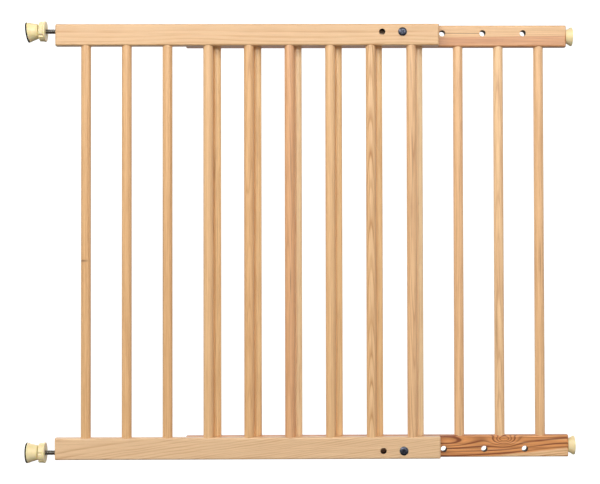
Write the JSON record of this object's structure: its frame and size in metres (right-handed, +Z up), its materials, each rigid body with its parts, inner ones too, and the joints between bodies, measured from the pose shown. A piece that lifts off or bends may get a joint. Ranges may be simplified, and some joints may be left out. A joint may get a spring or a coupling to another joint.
{
  "type": "extending safety gate",
  "caption": "Wooden pressure-fit safety gate: overlapping ladder panels with round bars, lobed screw adjusters with rubber pads at one end and fixed stops at the other.",
  "frame": {"origin": "centre of the lower fixed stop's face, where it rests on the wall", "axes": "+X along the gate, towards the wall that the fixed stops rest on; +Y away from the side with the bolt heads; +Z up"},
  "size_m": [0.9109, 0.0513, 0.7311],
  "materials": {
    "pine": "satin clear lacquer on pale pine",
    "pine_dark": "satin clear lacquer on orange-brown heartwood",
    "cream_plastic": "satin moulded cream plastic",
    "black_rubber": "matt",
    "zinc_steel": "bright zinc plate"
  },
  "bodies": {
    "rear_panel": {"rear_top_rail": "pine", "rear_bottom_rail": "pine_dark", "rear_bar_1": "pine", "rear_bar_2": "pine", "rear_bar_3": "pine", "rear_bar_4": "pine", "rear_bar_5": "pine", "rear_bar_6": "pine", "rear_bar_7": "pine", "rear_bar_8": "pine", "rear_bar_9": "pine", "top_fixed_stop": "cream_plastic", "bottom_fixed_stop": "cream_plastic"},
    "front_panel": {"front_top_rail": "pine", "front_bottom_rail": "pine", "front_bar_1": "pine", "front_bar_2": "pine", "front_bar_3": "pine", "front_bar_4": "pine", "front_bar_5": "pine", "front_bar_6": "pine", "front_bar_7": "pine", "front_bar_8": "pine", "front_bar_9": "pine"},
    "top_washer": {"top_adjuster_washer": "cream_plastic"},
    "top_wheel": {"top_adjuster_wheel": "cream_plastic"},
    "top_rod": {"top_adjuster_rod": "zinc_steel"},
    "top_pad": {"top_pad_cup": "cream_plastic", "top_pad_rubber": "black_rubber"},
    "top_bolt": {"top_lock_bolt": "zinc_steel"},
    "top_sleeve": {"top_lock_sleeve": "zinc_steel"},
    "bottom_washer": {"bottom_adjuster_washer": "cream_plastic"},
    "bottom_wheel": {"bottom_adjuster_wheel": "cream_plastic"},
    "bottom_rod": {"bottom_adjuster_rod": "zinc_steel"},
    "bottom_pad": {"bottom_pad_cup": "cream_plastic", "bottom_pad_rubber": "black_rubber"},
    "bottom_bolt": {"bottom_lock_bolt": "zinc_steel"},
    "bottom_sleeve": {"bottom_lock_sleeve": "zinc_steel"}
  },
  "joints": [
    {"name": "panel_extension", "type": "slide", "parent": "rear_panel", "child": "front_panel", "axis": [-1, 0, 0], "range_m": [-0.2025, 0.2025]},
    {"name": "top_adjuster_slide", "type": "slide", "parent": "front_panel", "child": "top_washer", "axis": [-1, 0, 0], "range_m": [-0.0155, 0.01]},
    {"name": "top_wheel_turn", "type": "hinge", "parent": "top_washer", "child": "top_wheel", "pos_m": [-0.88405, -0.0186, 0.6905], "axis": [1, 0, 0], "range_deg": [0, 8640]},
    {"name": "top_rod_feed", "type": "slide", "parent": "top_washer", "child": "top_rod", "axis": [-1, 0, 0], "range_m": [0, 0.0301]},
    {"name": "top_pad_tilt", "type": "hinge", "parent": "top_rod", "child": "top_pad", "pos_m": [-0.8956, -0.0186, 0.6905], "axis": [0, 1, 0], "range_deg": [-1.5, 15.5]},
    {"name": "top_bolt_withdraw", "type": "slide", "parent": "front_panel", "child": "top_bolt", "axis": [0, -1, 0], "range_m": [0, 0.04]},
    {"name": "top_sleeve_withdraw", "type": "slide", "parent": "front_panel", "child": "top_sleeve", "axis": [0, 1, 0], "range_m": [0, 0.045]},
    {"name": "bottom_adjuster_slide", "type": "slide", "parent": "front_panel", "child": "bottom_washer", "axis": [-1, 0, 0], "range_m": [-0.0155, 0.01]},
    {"name": "bottom_wheel_turn", "type": "hinge", "parent": "bottom_washer", "child": "bottom_wheel", "pos_m": [-0.88405, -0.0186, -0.0065], "axis": [1, 0, 0], "range_deg": [0, 8640]},
    {"name": "bottom_rod_feed", "type": "slide", "parent": "bottom_washer", "child": "bottom_rod", "axis": [-1, 0, 0], "range_m": [0, 0.0301]},
    {"name": "bottom_pad_tilt", "type": "hinge", "parent": "bottom_rod", "child": "bottom_pad", "pos_m": [-0.8956, -0.0186, -0.0065], "axis": [0, 1, 0], "range_deg": [-7, 10]},
    {"name": "bottom_bolt_withdraw", "type": "slide", "parent": "front_panel", "child": "bottom_bolt", "axis": [0, -1, 0], "range_m": [0, 0.04]},
    {"name": "bottom_sleeve_withdraw", "type": "slide", "parent": "front_panel", "child": "bottom_sleeve", "axis": [0, 1, 0], "range_m": [0, 0.045]}
  ],
  "couplings": [
    {"joint": "top_rod_feed", "follows": "top_wheel_turn", "m_per_rad": 0.00019894},
    {"joint": "bottom_rod_feed", "follows": "bottom_wheel_turn", "m_per_rad": 0.00019894}
  ]
}
